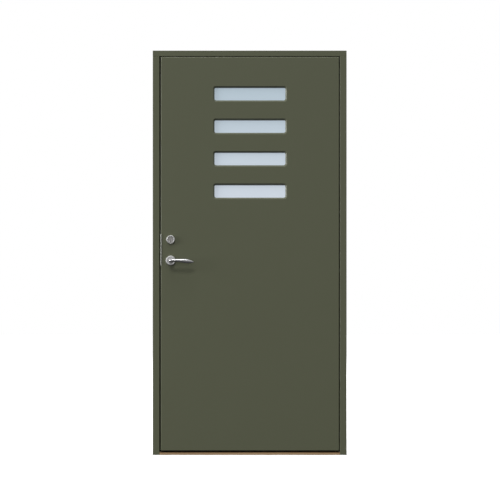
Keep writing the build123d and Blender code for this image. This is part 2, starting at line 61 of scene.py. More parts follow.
# Camera and light, set to the photograph's straight view
view = {
    "outerWidth": 0.990,       # the frame's width, which sets the scale
    "outerWidthPixels": 193.85,
    "imagePixels": 500,
    "centrePixelX": 249.68,    # where the middle of the frame falls
    "centrePixelY": 252.77,
    "lens": 300,
    "sensor": 36,
    "reach": 200,
}
studio = {
    "floorSize": 60,
    "floorShown": 0.72,        # how light the floor looks
    "floorGlow": 0.32,
    "floorMirrored": 0.05,     # what polished undersides see of it
    "skyStops": (              # height, from straight down to straight up, and brightness
        (0.0, 0.05), (0.42, 0.12), (0.5, 0.42), (0.60, 0.46), (0.76, 0.5), (0.84, 0.85), (1.0, 0.9),
    ),
    "skyLeft": 1.3,            # the sky's brightness factor at the far left
    "skyRight": 0.8,
    "keyStrength": 1.05,
    "keyAngle": 13,
    "keyFrom": (-0.102, -0.680, 0.726),
    "aim": (0, 0, 1.03),       # the point in the door that the softboxes face
    "boxes": {                 # place, width, height and brightness of each softbox
        "leftBox": ((-12.1, -3.2, 2.6), 4.0, 6.5, 15.0),
        "topBox": ((-1.5, -7.5, 23.0), 15.0, 7.5, 3.6),
        "backBox": ((6.0, 14.0, 8.0), 8.0, 8.0, 9.0),
    },
}


def frameFront():
    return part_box("frame_head")[0].y


def addCamera():
    pixel = view["outerWidth"] / view["outerWidthPixels"]
    distance = view["imagePixels"] * pixel * view["lens"] / view["sensor"]
    middle = view["imagePixels"] / 2
    data = bpy.data.cameras.new("photoCamera")
    data.lens = view["lens"]
    data.sensor_width = view["sensor"]
    data.clip_end = view["reach"]
    camera = bpy.data.objects.new("photoCamera", data)
    bpy.context.scene.collection.objects.link(camera)
    camera.location = (
        (middle - view["centrePixelX"]) * pixel,
        frameFront() - distance,
        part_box("frame_head")[1].z / 2 + (view["centrePixelY"] - middle) * pixel,
    )
    camera.rotation_euler = (math.radians(90), 0, 0)
    bpy.context.scene.camera = camera


def addLights():
    sun = bpy.data.lights.new("keySun", "SUN")
    sun.energy = studio["keyStrength"]
    sun.angle = math.radians(studio["keyAngle"])
    placeLight(sun, studio["keyFrom"], -Vector(studio["keyFrom"]))
    for name, (place, width, height, brightness) in studio["boxes"].items():
        box = bpy.data.lights.new(name, "AREA")
        box.shape = "RECTANGLE"
        box.size = width
        box.size_y = height
        box.energy = brightness * math.pi * width * height
        placeLight(box, place, Vector(studio["aim"]) - Vector(place))


def placeLight(light, place, direction):
    lamp = bpy.data.objects.new(light.name, light)
    bpy.context.scene.collection.objects.link(lamp)
    lamp.location = place
    lamp.rotation_euler = direction.to_track_quat("-Z", "Y").to_euler()
    lamp.visible_camera = False


# Node trees: add makes a node and feeds its inputs with values or with other nodes' outputs
def feed(tree, socket, value):
    if isinstance(value, bpy.types.NodeSocket):
        tree.links.new(value, socket)
    else:
        socket.default_value = value


def add(tree, kind, values=None, **fields):
    node = tree.nodes.new(kind)
    for field, value in fields.items():
        setattr(node, field, value)
    for label, value in (values or {}).items():
        feed(tree, node.inputs[label], value)
    return node


def maths(tree, operation, *values):
    node = add(tree, "ShaderNodeMath", operation=operation)
    for socket, value in zip(node.inputs, values):
        feed(tree, socket, value)
    return node.outputs[0]


def between(tree, value, low, high):
    over = maths(tree, "GREATER_THAN", value, low)
    return maths(tree, "MULTIPLY", over, maths(tree, "LESS_THAN", value, high))


def spread(tree, value, low, high, fromLow=0.0, fromHigh=1.0):
    ends = {"Value": value, "From Min": fromLow, "From Max": fromHigh, "To Min": low, "To Max": high}
    return add(tree, "ShaderNodeMapRange", ends).outputs["Result"]


def ramp(tree, value, *stops):
    node = add(tree, "ShaderNodeValToRGB", {"Fac": value})
    elements = node.color_ramp.elements
    while len(elements) < len(stops):
        elements.new(0.5)
    for element, (position, colour) in zip(elements, stops):
        element.position = position
        element.color = (*colour, 1)
    return node.outputs["Color"]


def newTree(kind, name, inputs, outputs):
    kinds = {type(None): "NodeSocketGeometry", float: "NodeSocketFloat", int: "NodeSocketInt",
             tuple: "NodeSocketColor"}
    tree = bpy.data.node_groups.new(name, kind)
    for label, value in inputs.items():
        socket = tree.interface.new_socket(label, in_out="INPUT", socket_type=kinds[type(value)])
        if value is not None:
            socket.default_value = (*value, 1) if isinstance(value, tuple) else value
    for label, socketKind in outputs.items():
        tree.interface.new_socket(label, in_out="OUTPUT", socket_type=socketKind)
    start = add(tree, "NodeGroupInput")
    end = add(tree, "NodeGroupOutput")
    return tree, start.outputs, end.inputs


def cameraOnly(tree, seen, lighting):
    path = add(tree, "ShaderNodeLightPath")
    values = {0: path.outputs["Is Camera Ray"], 1: lighting, 2: seen}
    return add(tree, "ShaderNodeMixShader", values).outputs[0]


def addWorld():
    world = bpy.data.worlds.new("paleStudio")
    bpy.context.scene.world = world
    world.use_nodes = True
    tree = world.node_tree
    tree.nodes.clear()
    seen = add(tree, "ShaderNodeBackground", {"Color": (1, 1, 1, 1)})
    place = add(tree, "ShaderNodeTexCoord").outputs["Generated"]
    split = add(tree, "ShaderNodeSeparateXYZ", {0: place})
    height = spread(tree, split.outputs["Z"], 0.0, 1.0, -1.0)
    sky = ramp(tree, height, *[(position, [level] * 3) for position, level in studio["skyStops"]])
    side = spread(tree, split.outputs["X"], studio["skyLeft"], studio["skyRight"], -1.0)
    lighting = add(tree, "ShaderNodeBackground", {"Color": sky, "Strength": side})
    shader = cameraOnly(tree, seen.outputs[0], lighting.outputs[0])
    add(tree, "ShaderNodeOutputWorld", {"Surface": shader})


def addFloor():
    size = studio["floorSize"] / 2
    mesh = bpy.data.meshes.new("studioFloor")
    corners = [(-size, -size, 0), (size, -size, 0), (size, size, 0), (-size, size, 0)]
    mesh.from_pydata(corners, [], [(0, 1, 2, 3)])
    floor = bpy.data.objects.new("studioFloor", mesh)
    bpy.context.scene.collection.objects.link(floor)
    material, tree, shown = newMaterial("studioFloor")
    shown.inputs["Base Color"].default_value = (*[studio["floorShown"]] * 3, 1)
    shown.inputs["Roughness"].default_value = 0.9
    shown.inputs["Specular IOR Level"].default_value = 0.0
    shown.inputs["Emission Color"].default_value = (1, 1, 1, 1)
    shown.inputs["Emission Strength"].default_value = studio["floorGlow"]
    dark = add(tree, "ShaderNodeBsdfDiffuse", {"Color": (*[studio["floorMirrored"]] * 3, 1)})
    shader = cameraOnly(tree, shown.outputs[0], dark.outputs[0])
    tree.links.new(shader, tree.nodes["Material Output"].inputs["Surface"])
    mesh.materials.append(material)


# Shader groups that several finishes share
def noise(tree, scale, detail=3.0, stretch=None):
    vector = add(tree, "ShaderNodeTexCoord").outputs["Object"]
    if stretch:
        vector = add(tree, "ShaderNodeMapping", {"Vector": vector, "Scale": stretch}).outputs["Vector"]
    values = {"Vector": vector, "Scale": scale, "Detail": detail}
    return add(tree, "ShaderNodeTexNoise", values).outputs["Fac"]


def multiplied(tree, colour, other):
    values = {0: 1.0, 6: colour, 7: other}
    return add(tree, "ShaderNodeMix", values, data_type="RGBA", blend_type="MULTIPLY").outputs[2]


def tint(tree, colour, factor):
    grey = add(tree, "ShaderNodeCombineColor", {0: factor, 1: factor, 2: factor}).outputs[0]
    return multiplied(tree, colour, grey)


def inkOver(tree, under, over, mask):
    values = {0: mask, 6: under, 7: over}
    return add(tree, "ShaderNodeMix", values, data_type="RGBA").outputs[2]


def axes(tree, output="Object"):
    place = add(tree, "ShaderNodeTexCoord").outputs[output]
    return add(tree, "ShaderNodeSeparateXYZ", {0: place}).outputs


finishOutputs = {"Colour": "NodeSocketColor", "Roughness": "NodeSocketFloat", "Height": "NodeSocketFloat"}

# Scales of the patterns are in waves over a metre
sprayed = {
    "cloudScale": 2.3,
    "patchScale": 14.0,
    "patchRoughness": 0.04,
    "peelScale": 420.0,
}
brushing = {
    "streakStretch": (900, 900, 30),
    "tarnishScale": 60.0,
}
sheenAndWearMask = {
    "turn": (0.01, 0.12),      # how far the surface has turned where the paler edge begins and is full
    "blotScale": 30.0,
    "blotSpan": (0.35, 0.6),
    "blotLow": 0.7,
}


def sprayedFilmGroup():
    inputs = {"Colour": (0.1, 0.1, 0.1), "Cloud": 0.03, "Roughness": 0.4}
    group, given, wanted = newTree("ShaderNodeTree", "sprayedFilm", inputs, finishOutputs)
    low = maths(group, "SUBTRACT", 1.0, given["Cloud"])
    high = maths(group, "ADD", 1.0, given["Cloud"])
    cloud = spread(group, noise(group, sprayed["cloudScale"]), low, high)
    feed(group, wanted["Colour"], tint(group, given["Colour"], cloud))
    rough = sprayed["patchRoughness"]
    patch = spread(group, noise(group, sprayed["patchScale"], 2.0), -rough, rough)
    feed(group, wanted["Roughness"], maths(group, "ADD", given["Roughness"], patch))
    feed(group, wanted["Height"], noise(group, sprayed["peelScale"], 1.0))
    return group


def brushedMetalGroup():
    inputs = {"Colour": (0.6, 0.6, 0.6), "Roughness": 0.3, "Streak": 0.1}
    group, given, wanted = newTree("ShaderNodeTree", "brushedMetal", inputs, finishOutputs)
    streaks = noise(group, 1.0, 4.0, brushing["streakStretch"])
    low = maths(group, "SUBTRACT", 1.0, given["Streak"])
    tarnish = spread(group, noise(group, brushing["tarnishScale"]), low, 1.0)
    feed(group, wanted["Colour"], tint(group, given["Colour"], tarnish))
    rough = spread(group, streaks, maths(group, "MULTIPLY", given["Streak"], -1.0), given["Streak"])
    feed(group, wanted["Roughness"], maths(group, "ADD", given["Roughness"], rough))
    feed(group, wanted["Height"], streaks)
    return group


# Where the surface turns a corner it is made paler and smoother: wear, and where the lift is strong a
# painted highlight along the arris
def sheenAndWearGroup():
    inputs = {"Colour": (0.1, 0.1, 0.1), "Roughness": 0.4, "Lift": 1.5, "Polish": 0.1, "Where": 1.0}
    outputs = {"Colour": "NodeSocketColor", "Roughness": "NodeSocketFloat"}
    group, given, wanted = newTree("ShaderNodeTree", "edgeSheenAndWear", inputs, outputs)
    x, y, z = [maths(group, "ABSOLUTE", side) for side in axes(group, "Normal")]
    turning = maths(group, "SUBTRACT", 1.0, maths(group, "MAXIMUM", x, maths(group, "MAXIMUM", y, z)))
    edge = maths(group, "MULTIPLY", spread(group, turning, 0.0, 1.0, *sheenAndWearMask["turn"]), given["Where"])
    blots = noise(group, sheenAndWearMask["blotScale"])
    blots = spread(group, blots, sheenAndWearMask["blotLow"], 1.0, *sheenAndWearMask["blotSpan"])
    edge = maths(group, "MULTIPLY", edge, blots)
    pale = tint(group, given["Colour"], given["Lift"])
    feed(group, wanted["Colour"], inkOver(group, given["Colour"], pale, edge))
    smoother = maths(group, "MULTIPLY", edge, given["Polish"])
    feed(group, wanted["Roughness"], maths(group, "SUBTRACT", given["Roughness"], smoother))
    return group


def newMaterial(name):
    material = bpy.data.materials.new(name)
    material.use_nodes = True
    return material, material.node_tree, material.node_tree.nodes["Principled BSDF"]


def useGroup(tree, group, values):
    node = add(tree, "ShaderNodeGroup", node_tree=group)
    for label, value in values.items():
        feed(tree, node.inputs[label], (*value, 1) if isinstance(value, tuple) else value)
    return node.outputs


# Paler, smoother edges: wear, and where the lift is strong a painted highlight along the arris
def edgesSheenedAndWorn(tree, shader, coat, bump, lift=1.0, polish=0.0, where=1.0):
    values = {"Colour": coat["Colour"], "Roughness": coat["Roughness"], "Lift": lift, "Polish": polish,
              "Where": where}
    sheenedAndWorn = useGroup(tree, sheenAndWearTree, values)
    feed(tree, shader.inputs["Base Color"], sheenedAndWorn["Colour"])
    feed(tree, shader.inputs["Roughness"], sheenedAndWorn["Roughness"])
    relief(tree, shader, coat["Height"], bump)
    return sheenedAndWorn


def relief(tree, shader, height, distance):
    bump = add(tree, "ShaderNodeBump", {"Distance": distance, "Strength": 1.0, "Height": height})
    feed(tree, shader.inputs["Normal"], bump.outputs["Normal"])


olive = {
    "colour": (0.0915, 0.0985, 0.0590),
    "cloud": 0.015,
    "roughness": 0.40,
    "gloss": 0.45,
    "peelDepth": 0.00002,
    "edgeLift": 3.0,           # how much paler the arrises are: a painted highlight along them
    "edgePolish": 0.12,
    # painted shade: how dark the paint is made in the gap round the leaf
    "gapShadeTone": (0.08, 0.08, 0.05),
    "gapX": 0.440,             # from here outwards and upwards lies the gap round the leaf
    "gapZ": 2.020,
    "gapMargin": 0.004,        # and it stays this far inside the frame's outer sides
    "gapY": (-0.0399, -0.0392, -0.004, 0.010),     # depths where it begins, is full, fades and ends
}


# Painted shade in the gap between leaf and frame: where it falls, from 0 to 1, and which part of the set is
# near the gap
def gapShadeMask(tree):
    x, y, z = axes(tree)
    x = maths(tree, "ABSOLUTE", x)
    side = between(tree, x, olive["gapX"], cadBox[1][0] - olive["gapMargin"])
    above = between(tree, z, olive["gapZ"], cadBox[1][2] - olive["gapMargin"])
    around = maths(tree, "MAXIMUM", side, above)
    front, deep, back, out = olive["gapY"]
    ahead = spread(tree, y, 0.0, 1.0, front, deep)
    inside = maths(tree, "MULTIPLY", ahead, spread(tree, y, 1.0, 0.0, back, out))
    return maths(tree, "MULTIPLY", around, inside), around


def olivePaint(name):
    material, tree, shader = newMaterial(name)
    values = {"Colour": olive["colour"], "Cloud": olive["cloud"], "Roughness": olive["roughness"]}
    coat = useGroup(tree, film, values)
    # painted shade: the paint is darkened in the gap round the leaf
    gap, around = gapShadeMask(tree)
    # painted highlight: the arrises near the gap are painted much paler
    sheenedAndWorn = edgesSheenedAndWorn(tree, shader, coat, olive["peelDepth"], olive["edgeLift"], olive["edgePolish"], around)
    shade = multiplied(tree, sheenedAndWorn["Colour"], (*olive["gapShadeTone"], 1))
    feed(tree, shader.inputs["Base Color"], inkOver(tree, sheenedAndWorn["Colour"], shade, gap))
    shader.inputs["Specular IOR Level"].default_value = olive["gloss"]
    return material


metals = {                   # colour, roughness, streak and depth of the streaks
    "zincSteel": ((0.42, 0.42, 0.39), 0.38, 0.10, 0.00001),
    "guardSteel": ((0.21, 0.213, 0.19), 0.42, 0.08, 0.00001),
    "brightChrome": ((0.45, 0.45, 0.46), 0.33, 0.02, 0.000001),
    "satinChrome": ((0.56, 0.56, 0.56), 0.62, 0.03, 0.000002),
    "satinNickel": ((0.62, 0.61, 0.59), 0.25, 0.06, 0.000004),
    "spacerAlu": ((0.6, 0.6, 0.6), 0.40, 0.10, 0.00001),
}
metalEdge = {"lift": 1.15, "polish": 0.04}
plainFinishes = {            # colour and roughness
    "sealRubber": ((0.012, 0.012, 0.012), 0.6),
    "foam": ((0.7, 0.62, 0.38), 0.9),
}
plainCoat = {"cloud": 0.06, "depth": 0.00005}


def metal(name):
    colour, roughness, streak, depth = metals[name]
    material, tree, shader = newMaterial(name)
    values = {"Colour": colour, "Roughness": roughness, "Streak": streak}
    edgesSheenedAndWorn(tree, shader, useGroup(tree, brushed, values), depth, metalEdge["lift"], metalEdge["polish"])
    shader.inputs["Metallic"].default_value = 1.0
    return material


def plain(name):
    colour, roughness = plainFinishes[name]
    material, tree, shader = newMaterial(name)
    values = {"Colour": colour, "Cloud": plainCoat["cloud"], "Roughness": roughness}
    edgesSheenedAndWorn(tree, shader, useGroup(tree, film, values), plainCoat["depth"])
    return material


oak = {
    "dark": (0.205, 0.122, 0.053),
    "light": (0.40, 0.262, 0.132),
    "grainStretch": (4, 90, 90),
    "poreStretch": (18, 700, 700),
    "poreShare": 0.35,         # of the pattern, beside the grain
    "contrast": (-0.2, 1.2),
    "roughness": (0.42, 0.62),
    "poreDepth": 0.0003,
    "shadedTone": (0.18, 0.085, 0.012),
    "shadedZ": (0.0085, 0.0125),     # the slope that runs back under the leaf
    "shadedY": (-0.038, -0.030),
    "shadedDeep": 0.35,        # what is left of the shade at the second depth
}


def oakWood():
    material, tree, shader = newMaterial("oiledOak")
    grain = noise(tree, 1.0, 5.0, oak["grainStretch"])
    pores = noise(tree, 1.0, 3.0, oak["poreStretch"])
    coarse = maths(tree, "MULTIPLY", grain, 1 - oak["poreShare"])
    mixed = maths(tree, "ADD", coarse, maths(tree, "MULTIPLY", pores, oak["poreShare"]))
    mixed = spread(tree, mixed, *oak["contrast"])
    colour = ramp(tree, mixed, (0.0, oak["dark"]), (1.0, oak["light"]))
    # painted shade: the oak darkened on the slope that runs back under the leaf, where the leaf shades it
    place = axes(tree)
    upper = spread(tree, place["Z"], 0.0, 1.0, *oak["shadedZ"])
    inner = spread(tree, place["Y"], 1.0, oak["shadedDeep"], *oak["shadedY"])
    slope = maths(tree, "MULTIPLY", upper, inner)
    dark = multiplied(tree, colour, (*oak["shadedTone"], 1))
    feed(tree, shader.inputs["Base Color"], inkOver(tree, colour, dark, slope))
    feed(tree, shader.inputs["Roughness"], spread(tree, pores, *oak["roughness"]))
    relief(tree, shader, pores, oak["poreDepth"])
    return material


glass = {
    # the pane's pale blue tone, painted paler low down and bluer high up: a painted reflection of a sky's
    # gradient
    "lowTint": (0.705, 0.78, 0.872),
    "highTint": (0.505, 0.62, 0.705),
    "lowZ": 1.30,
    "highZ": 1.89,
    "share": 0.72,             # of its brightness that comes from light falling on it
    "paintedGlow": 0.29,              # and what the pane gives out itself, a painted glow that stands in for light coming through from behind
    "topShadeReach": (0.0144, 0.0156),   # down from a pane's top, where the painted shadow under the opening's top edge fades out
    "topShadeTone": 0.12,
    "frostScale": 900.0,
    "frostRoughness": (0.45, 0.6),
    "coatRoughness": 0.02,
    "coatIor": 1.5,
    "inner": (0.75, 0.82, 0.84),
    "innerRoughness": 0.04,
    "innerAlpha": 0.14,
}


def boxCentre(name):
    low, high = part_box(name)
    return (low + high) / 2


def windowNodes(kind):
    return [f"{kind}_{number}" for number in windows]


def windowPitch(names):
    return (boxCentre(names[0]).z - boxCentre(names[-1]).z) / (len(names) - 1)


def frostedGlass():
    material, tree, shader = newMaterial("frostedGlass")
    z = axes(tree)["Z"]
    # painted reflection: the pane's tone graded by height like a reflected sky
    height = spread(tree, z, 0.0, 1.0, glass["lowZ"], glass["highZ"])
    tone = ramp(tree, height, (0.0, glass["lowTint"]), (1.0, glass["highTint"]))
    # painted shadow: each pane darkened just below its top, where the opening's top edge shades it
    panes = windowNodes("outer_pane")
    below = maths(tree, "SUBTRACT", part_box(panes[0])[1].z, z)
    below = maths(tree, "FLOORED_MODULO", below, windowPitch(panes))
    tone = tint(tree, tone, spread(tree, below, glass["topShadeTone"], 1.0, *glass["topShadeReach"]))
    feed(tree, shader.inputs["Base Color"], tint(tree, tone, glass["share"]))
    # painted glow: the pane gives out light of its own tone
    feed(tree, shader.inputs["Emission Color"], tone)
    shader.inputs["Emission Strength"].default_value = glass["paintedGlow"]
    frost = spread(tree, noise(tree, glass["frostScale"], 2.0), *glass["frostRoughness"])
    feed(tree, shader.inputs["Roughness"], frost)
    shader.inputs["Coat Weight"].default_value = 1.0
    shader.inputs["Coat Roughness"].default_value = glass["coatRoughness"]
    shader.inputs["Coat IOR"].default_value = glass["coatIor"]
    return material


def clearGlass():
    material, _, shader = newMaterial("clearPane")
    shader.inputs["Base Color"].default_value = (*glass["inner"], 1)
    shader.inputs["Roughness"].default_value = glass["innerRoughness"]
    shader.inputs["Alpha"].default_value = glass["innerAlpha"]
    return material


# Geometry node results become plain meshes, one piece for each body
def grown(base, tree, values):
    holder = bpy.data.objects.new("holder", base)
    bpy.context.scene.collection.objects.link(holder)
    modifier = holder.modifiers.new("growth", "NODES")
    modifier.node_group = tree
    for item in tree.interface.items_tree:
        if item.in_out == "INPUT" and item.name in values:
            modifier[item.identifier] = values[item.name]
    depsgraph = bpy.context.evaluated_depsgraph_get()
    mesh = bpy.data.meshes.new_from_object(holder.evaluated_get(depsgraph), depsgraph=depsgraph)
    holder.modifiers.remove(modifier)
    bpy.data.objects.remove(holder)
    return mesh


def joined(name, meshes):
    bench = bmesh.new()
    for mesh in meshes:
        bench.from_mesh(mesh)
    whole = bpy.data.meshes.new(name)
    bench.to_mesh(whole)
    bench.free()
    return whole


sharpAngle = 32


def settle(name, mesh, material, body, slot, *replaced):
    mesh.materials.clear()
    mesh.materials.append(material)
    mesh.shade_smooth()
    mesh.set_sharp_from_angle(angle=math.radians(sharpAngle))
    piece = bpy.data.objects.new(name, mesh)
    bpy.context.scene.collection.objects.link(piece)
    if replaced:
        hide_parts(*replaced)
    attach(piece, body)


def combine(tree, x, y, z):
    return add(tree, "ShaderNodeCombineXYZ", {"X": x, "Y": y, "Z": z}).outputs[0]


def moved(tree, geometry, offset, turn=(0, 0, 0)):
    values = {"Geometry": geometry, "Translation": offset, "Rotation": turn}
    return add(tree, "GeometryNodeTransform", values).outputs[0]


# Countersunk screws, standing where the frame has its own
screws = {
    "headSides": 40,
    "shankSides": 20,
    "coreShare": 0.76,         # of the shank's radius, under the thread
    "tipLength": 2.0,          # in shank radii
    "threadPitch": 0.62,       # in head heights
    "threadShare": 0.9,        # of the shank's length
    "threadSteps": 14,         # in one turn
    "recessWidth": 0.26,       # of the head's diameter
    "recessReach": 0.62,
    "recessDepth": 0.72,       # of the head's height
    "seed": 4,
    "kinds": {                 # shank radius, head height
        "frame_screws": (0.0025, 0.003),
        "lock_jamb_screws": (0.0019, 0.0019),
        "hinge_frame_screws": (0.002, 0.0022),
        "hinge_leaf_screws": (0.002, 0.0022),
        "forend_screws": (0.0019, 0.0019),
    },
}


def screwTree(finish):
    inputs = {"Spots": None, "Head radius": 0.004, "Head height": 0.0022, "Shank radius": 0.002,
              "Length": 0.018}
    outputs = {"Screws": "NodeSocketGeometry"}
    tree, given, wanted = newTree("GeometryNodeTree", "countersunkScrews", inputs, outputs)
    headRadius, headHeight = given["Head radius"], given["Head height"]
    shankRadius, length = given["Shank radius"], given["Length"]
    core = maths(tree, "MULTIPLY", shankRadius, screws["coreShare"])
    down = maths(tree, "MULTIPLY", headHeight, -1.0)
    head = add(tree, "GeometryNodeMeshCone", {
        "Vertices": screws["headSides"], "Radius Top": headRadius, "Radius Bottom": shankRadius,
        "Depth": headHeight})
    head = moved(tree, head.outputs["Mesh"], combine(tree, 0.0, 0.0, down))
    wide = maths(tree, "MULTIPLY", headRadius, 2 * screws["recessWidth"])
    reach = maths(tree, "MULTIPLY", headRadius, 2 * screws["recessReach"])
    deep = maths(tree, "MULTIPLY", headHeight, 2 * screws["recessDepth"])
    slot = add(tree, "GeometryNodeMeshCube", {"Size": combine(tree, wide, reach, deep)}).outputs["Mesh"]
    carved = add(tree, "GeometryNodeMeshBoolean", {"Mesh 1": head}, operation="DIFFERENCE")
    for turn in (0, math.pi / 2):
        feed(tree, carved.inputs["Mesh 2"], moved(tree, slot, (0, 0, 0), (0, 0, turn)))
    tip = maths(tree, "MULTIPLY", shankRadius, screws["tipLength"])
    below = maths(tree, "SUBTRACT", length, maths(tree, "ADD", headHeight, tip))
    sides = screws["shankSides"]
    shank = add(tree, "GeometryNodeMeshCone", {
        "Vertices": sides, "Radius Top": core, "Radius Bottom": core, "Depth": below}).outputs["Mesh"]
    start = combine(tree, 0.0, 0.0, maths(tree, "SUBTRACT", tip, length))
    point = add(tree, "GeometryNodeMeshCone", {
        "Vertices": sides, "Radius Top": core, "Radius Bottom": 0.0, "Depth": tip}).outputs["Mesh"]
    point = moved(tree, point, combine(tree, 0.0, 0.0, maths(tree, "MULTIPLY", length, -1.0)))
    pitch = maths(tree, "MULTIPLY", headHeight, screws["threadPitch"])
    rise = maths(tree, "MULTIPLY", below, screws["threadShare"])
    turns = add(tree, "GeometryNodeCurveSpiral", {
        "Resolution": screws["threadSteps"], "Rotations": maths(tree, "DIVIDE", rise, pitch),
        "Start Radius": core, "End Radius": core, "Height": rise}).outputs["Curve"]
    ridge = maths(tree, "SUBTRACT", shankRadius, core)
    section = add(tree, "GeometryNodeCurvePrimitiveCircle", {"Resolution": 3, "Radius": ridge})
    thread = add(tree, "GeometryNodeCurveToMesh", {
        "Curve": turns, "Profile Curve": section.outputs["Curve"], "Fill Caps": True}).outputs["Mesh"]
    whole = add(tree, "GeometryNodeJoinGeometry")
    for piece in (carved.outputs["Mesh"], moved(tree, shank, start), point, moved(tree, thread, start)):
        feed(tree, whole.inputs[0], piece)
    outward = add(tree, "GeometryNodeInputNamedAttribute", {"Name": "outward"}, data_type="FLOAT_VECTOR")
    aim = add(tree, "FunctionNodeAlignRotationToVector", {"Vector": outward.outputs["Attribute"]}, axis="Z")
    chance = add(tree, "FunctionNodeRandomValue", {"Seed": screws["seed"]}, data_type="FLOAT")
    twist = combine(tree, 0.0, 0.0, maths(tree, "MULTIPLY", chance.outputs[1], math.pi))
    turned = add(tree, "FunctionNodeRotateRotation", {
        "Rotation": aim.outputs[0], "Rotate By": twist}, rotation_space="LOCAL")
    placed = add(tree, "GeometryNodeInstanceOnPoints", {
        "Points": given["Spots"], "Instance": whole.outputs[0], "Rotation": turned.outputs[0]})
    real = add(tree, "GeometryNodeRealizeInstances", {"Geometry": placed.outputs[0]}).outputs[0]
    finished = add(tree, "GeometryNodeSetMaterial", {"Geometry": real, "Material": finish})
    feed(tree, wanted[0], finished.outputs[0])
    return tree


def islands(name):
    bench = bmesh.new()
    bench.from_mesh(nodes[name].data)
    bmesh.ops.remove_doubles(bench, verts=bench.verts, dist=1e-6)
    waiting = set(bench.verts)
    while waiting:
        found, edge = [], [waiting.pop()]
        while edge:
            vertex = edge.pop()
            found.append(vertex.co.copy())
            near = {line.other_vert(vertex) for line in vertex.link_edges} & waiting
            waiting -= near
            edge.extend(near)
        yield found
    bench.free()


# Where a screw's head is, which way it faces, its radius and its length
def screwSpot(points):
    low = Vector([min(point[axis] for point in points) for axis in range(3)])
    high = Vector([max(point[axis] for point in points) for axis in range(3)])
    size = high - low
    axis = max(range(3), key=lambda number: size[number])
    across = [number for number in range(3) if number != axis]
    centre = (low + high) / 2
    far = max(points, key=lambda point: sum((point[number] - centre[number]) ** 2 for number in across))
    facing = 1 if far[axis] > centre[axis] else -1
    outward = Vector([facing if number == axis else 0 for number in range(3)])
    return centre + outward * size[axis] / 2, outward, size[across[0]] / 2, size[axis]


def screwMesh(tree, name):
    spots = [screwSpot(points) for points in islands(name)]
    spots.sort(key=lambda spot: tuple(round(value, 4) for value in spot[0]))
    base = bpy.data.meshes.new(name + "Spots")
    base.from_pydata([spot[0] for spot in spots], [], [])
    outward = base.attributes.new("outward", "FLOAT_VECTOR", "POINT")
    for number, (place, direction, radius, length) in enumerate(spots):
        outward.data[number].vector = direction
    shankRadius, headHeight = screws["kinds"][name]
    sizes = {"Head radius": radius, "Head height": headHeight, "Shank radius": shankRadius, "Length": length}
    return grown(base, tree, sizes)


def makeScrews(finish):
    tree = screwTree(finish)
    groups = {
        "frame": ("frame_screws", "lock_jamb_screws", "hinge_frame_screws"),
        "leaf": ("hinge_leaf_screws", "forend_screws"),
    }
    for body, kinds in groups.items():
        mesh = joined(body + "Fixings", [screwMesh(tree, kind) for kind in kinds])
        settle(body + "Fixings", mesh, finish, body, "zinc_steel", *kinds)


# Rubber gasket, drawn up one jamb, across the head and down the other
gasket = {
    "bulbWidth": 0.0068,
    "stemWidth": 0.0016,
    "barbWidth": 0.0029,
    "barbThickness": 0.0008,
    "barbPlaces": (-0.45, -0.85),    # along the stem
    "bulbSides": 20,
    "stopDepth": 0.054,        # from the frame's outer side to the stop that it sits on
    "inset": 0.0035,           # from its outer edge to the middle of the stem
}


def gasketTree(finish):
    inputs = {"Path": None, "Bulb width": 0.0068, "Bulb depth": 0.0064, "Stem width": 0.0016,
              "Stem depth": 0.005, "Barb width": 0.0029, "Barb thickness": 0.0008}
    tree, given, wanted = newTree("GeometryNodeTree", "gasketRun", inputs, {"Gasket": "NodeSocketGeometry"})
    section = add(tree, "GeometryNodeJoinGeometry")
    circle = add(tree, "GeometryNodeCurvePrimitiveCircle", {
        "Resolution": gasket["bulbSides"], "Radius": 0.5})
    bulb = add(tree, "GeometryNodeTransform", {
        "Geometry": circle.outputs["Curve"],
        "Scale": combine(tree, given["Bulb depth"], given["Bulb width"], 1.0),
        "Translation": combine(tree, maths(tree, "MULTIPLY", given["Bulb depth"], 0.5), 0.0, 0.0)})
    feed(tree, section.inputs[0], bulb.outputs[0])
    pieces = [(given["Stem depth"], given["Stem width"], -0.5)]
    pieces += [(given["Barb thickness"], given["Barb width"], share) for share in gasket["barbPlaces"]]
    for deep, wide, share in pieces:
        outline = add(tree, "GeometryNodeCurvePrimitiveQuadrilateral", {"Width": deep, "Height": wide})
        shift = combine(tree, maths(tree, "MULTIPLY", given["Stem depth"], share), 0.0, 0.0)
        feed(tree, section.inputs[0], moved(tree, outline.outputs[0], shift))
    path = add(tree, "GeometryNodeMeshToCurve", {"Mesh": given["Path"]}).outputs[0]
    path = add(tree, "GeometryNodeSetCurveNormal", {"Curve": path, "Normal": (0, 1, 0)}, mode="FREE")
    run = add(tree, "GeometryNodeCurveToMesh", {
        "Curve": path.outputs[0], "Profile Curve": section.outputs[0], "Fill Caps": True}).outputs[0]
    real = add(tree, "GeometryNodeRealizeInstances", {"Geometry": run}).outputs[0]
    finished = add(tree, "GeometryNodeSetMaterial", {"Geometry": real, "Material": finish})
    feed(tree, wanted[0], finished.outputs[0])
    return tree


def makeGasket(finish):
    low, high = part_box("frame_gasket")
    stopY = frameFront() + gasket["stopDepth"]
    inset = gasket["inset"]
    corners = [(low.x + inset, stopY, low.z), (low.x + inset, stopY, high.z - inset),
               (high.x - inset, stopY, high.z - inset), (high.x - inset, stopY, low.z)]
    base = bpy.data.meshes.new("gasketPath")
    base.from_pydata(corners, [(0, 1), (1, 2), (2, 3)], [])
    sizes = {"Bulb width": gasket["bulbWidth"], "Bulb depth": high.y - stopY,
             "Stem width": gasket["stemWidth"], "Stem depth": stopY - low.y,
             "Barb width": gasket["barbWidth"], "Barb thickness": gasket["barbThickness"]}
    mesh = grown(base, gasketTree(finish), sizes)
    settle("gasketRun", mesh, finish, "frame", "seal_rubber", "frame_gasket")


